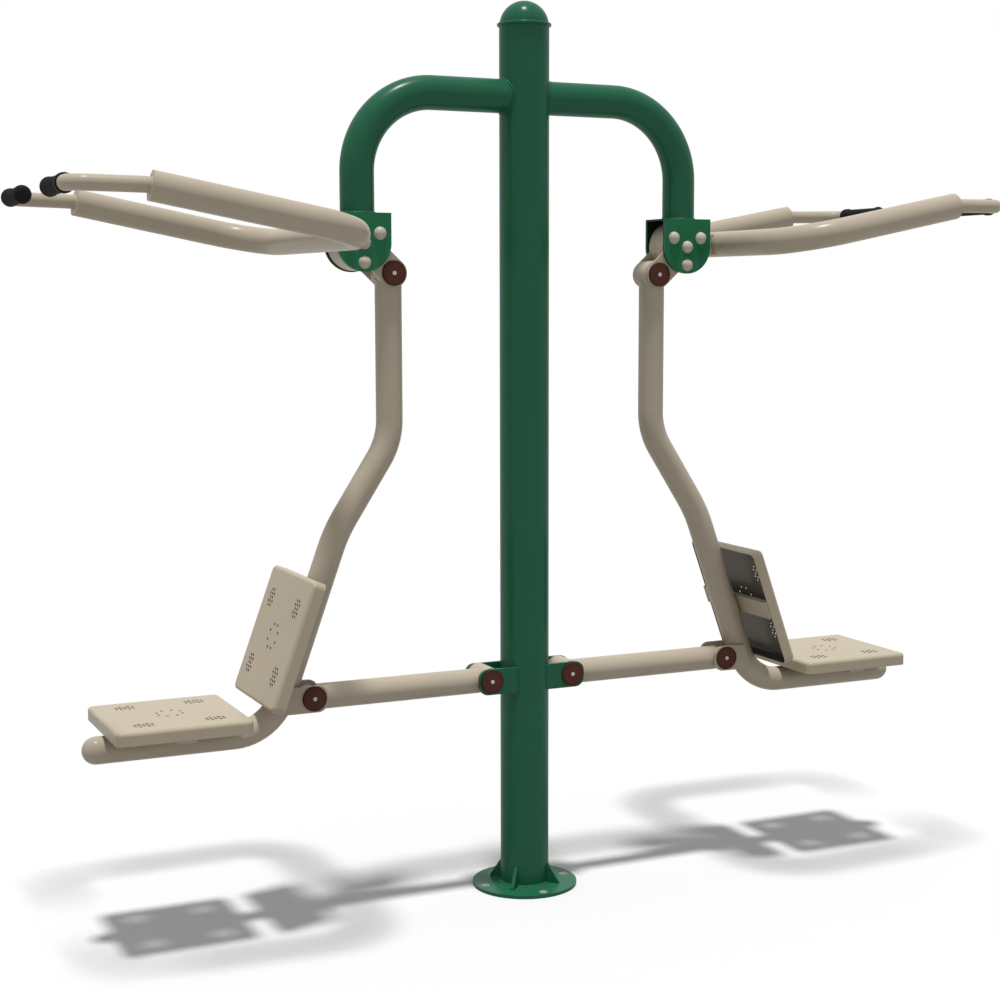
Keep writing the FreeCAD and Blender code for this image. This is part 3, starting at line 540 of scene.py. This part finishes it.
# Grips: black rubber sleeves pushed over the ends of the handle bars, moulded with flared ends,
# a closed tip and fine ribs round the waist. Each piece stands for both sleeves of a station.
DEEP_BLACK = (0.004, 0.004, 0.004, 1)
WORN_BLACK = (0.010, 0.010, 0.010, 1)
WORN_PATCH = 0.02
GRAIN_SIZE = 0.0015
GRAIN_DEPTH = 0.0003
GRAIN_STRENGTH = 0.15
RUBBER_SHINE = 0.12
rubber, start, shader = blank_material("black_rubber")
where = places(start)
grain = noise(start, where, GRAIN_SIZE)
plug(start, shader,
     Base_Color=mixed(start, noise(start, where, WORN_PATCH), DEEP_BLACK, WORN_BLACK),
     Roughness=between(grain, 0.60, 0.80),
     Normal=bumps(start, grain, GRAIN_STRENGTH, GRAIN_DEPTH))
shader.inputs["Specular IOR Level"].default_value = RUBBER_SHINE
GRIP_END = 0.0200
GRIP_WAIST = 0.0172
RIB = 0.0005
RIB_PITCH = 0.0058
COLLAR = 0.0132
FLARE = 0.011
TIP_ROUND = 0.012
LIP_ROUND = 0.003
TIP_STEPS = 8
LIP_STEPS = 6
BODY_STEPS = 220
GRIP_RING = 48
SAME_PLACE = 1e-6


def grip_profile(length, bore):
    """Radius and place along a grip, from the middle of its tip to the lip round the bar."""
    profile = [(0.0, 0.0)]
    for step in range(TIP_STEPS + 1):
        turn = step / TIP_STEPS * math.pi / 2
        profile.append((GRIP_END - TIP_ROUND + TIP_ROUND * math.sin(turn),
                        TIP_ROUND - TIP_ROUND * math.cos(turn)))
    body = length - LIP_ROUND - TIP_ROUND
    for step in range(1, BODY_STEPS):
        place = TIP_ROUND + body * step / BODY_STEPS
        inward = min(place, length - place)
        waist = min(max((inward - COLLAR) / FLARE, 0), 1)
        waist = waist * waist * (3 - 2 * waist)
        rib = RIB * math.cos(place * math.tau / RIB_PITCH) * waist
        profile.append((GRIP_END + (GRIP_WAIST - GRIP_END) * waist + rib, place))
    for step in range(LIP_STEPS + 1):
        turn = step / LIP_STEPS * math.pi / 2
        profile.append((GRIP_END - LIP_ROUND + LIP_ROUND * math.cos(turn),
                        length - LIP_ROUND + LIP_ROUND * math.sin(turn)))
    profile.append((bore, length))
    return profile


for side in SIDES:
    axis = middle_of(f"{side}_grips")
    plain_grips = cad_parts[f"{side}_grips"].data
    tip = min(vertex.co.y for vertex in plain_grips.vertices if vertex.co.y > 0)
    profile = grip_profile(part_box(f"{side}_grips")[1].y - tip, BAR_RADIUS)
    mesh = bmesh.new()
    for face in FACES.values():
        rows = []
        for radius, place in profile:
            rows.append([mesh.verts.new((axis.x + radius * math.cos(turn), face * (tip + place),
                                         axis.z + radius * math.sin(turn))) for turn in turns(GRIP_RING)])
        for here, there in zip(rows, rows[1:]):
            skin(mesh, here, there)
    bmesh.ops.remove_doubles(mesh, verts=mesh.verts[:], dist=SAME_PLACE)
    grips = mesh_object(f"{side}_ribbed_grips", mesh, rubber)
    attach(grips, f"{side}_lever")
    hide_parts(f"{side}_grips")


# Stage: a pale floor that keeps the shadow, white surroundings and a soft high sun a little in
# front of the machine, with the camera where the photograph was taken from.
def seeing_rays(start):
    """1 for the rays that show the surroundings: straight, off a glossy face or through a clear one."""
    paths = start.make("ShaderNodeLightPath").socket.node.outputs
    straight, glossy, through = [Wire(start.tree, paths[name]) for name in (
        "Is Camera Ray", "Is Glossy Ray", "Is Transmission Ray")]
    return start.maths("MAXIMUM", start.maths("MAXIMUM", straight, glossy), through)


FLOOR_SIZE = 400
FLOOR_SEEN = (0.86, 0.86, 0.86, 1)
FLOOR_UNSEEN = (0.36, 0.36, 0.35, 1)
bpy.ops.mesh.primitive_plane_add(size=FLOOR_SIZE, location=(0, 0, 0))
floor = bpy.context.object
floor.name = "floor"
pale, start, shader = blank_material("pale_floor")
shader.inputs["Base Color"].default_value = FLOOR_SEEN
shader.inputs["Roughness"].default_value = 1.0
shader.inputs["Specular IOR Level"].default_value = 0.0
dim = start.make("ShaderNodeBsdfDiffuse", sockets={"Color": FLOOR_UNSEEN})
surface = start.make("ShaderNodeMixShader",
                     sockets={0: seeing_rays(start), 1: dim, 2: Wire(start.tree, shader.outputs[0])})
output = next(node for node in start.tree.nodes if node.type == "OUTPUT_MATERIAL")
start.tree.links.new(surface.socket, output.inputs["Surface"])
floor.data.materials.append(pale)

SKY = 0.36
world = bpy.context.scene.world or bpy.data.worlds.new("studio")
bpy.context.scene.world = world
world.use_nodes = True
sky = Wire(world.node_tree)
background = next(node for node in world.node_tree.nodes if node.type == "BACKGROUND")
background.inputs["Color"].default_value = (1, 1, 1, 1)
glow = between(seeing_rays(sky), SKY, 1)
world.node_tree.links.new(glow.socket, background.inputs["Strength"])

SUN_STRENGTH = 2.6
SUN_WIDTH = math.radians(6)
SUN_PATH = Vector((0.05, 0.115, -1.0))
sun_data = bpy.data.lights.new("sun", "SUN")
sun_data.energy = SUN_STRENGTH
sun_data.angle = SUN_WIDTH
sun = bpy.data.objects.new("sun", sun_data)
sun.rotation_euler = SUN_PATH.to_track_quat("-Z", "Y").to_euler()
bpy.context.scene.collection.objects.link(sun)

PHOTO_WIDTH = 1000
FOCAL_PIXELS = 1816.3
OFF_CENTRE = (31.4, 24.6)
SENSOR_WIDTH = 36
CAMERA_PLACE = (-1.8033, -3.8096, 1.3948)
LOOK_DOWN = math.radians(7.002)
LOOK_RIGHT = math.radians(25.554)
camera_data = bpy.data.cameras.new("camera")
camera_data.sensor_width = SENSOR_WIDTH
camera_data.lens = FOCAL_PIXELS / PHOTO_WIDTH * SENSOR_WIDTH
camera_data.shift_x = -OFF_CENTRE[0] / PHOTO_WIDTH
camera_data.shift_y = OFF_CENTRE[1] / PHOTO_WIDTH
camera = bpy.data.objects.new("camera", camera_data)
camera.location = CAMERA_PLACE
camera.rotation_euler = (math.pi / 2 - LOOK_DOWN, 0, -LOOK_RIGHT)
bpy.context.scene.collection.objects.link(camera)
bpy.context.scene.camera = camera

bpy.context.scene.view_settings.view_transform = "Standard"
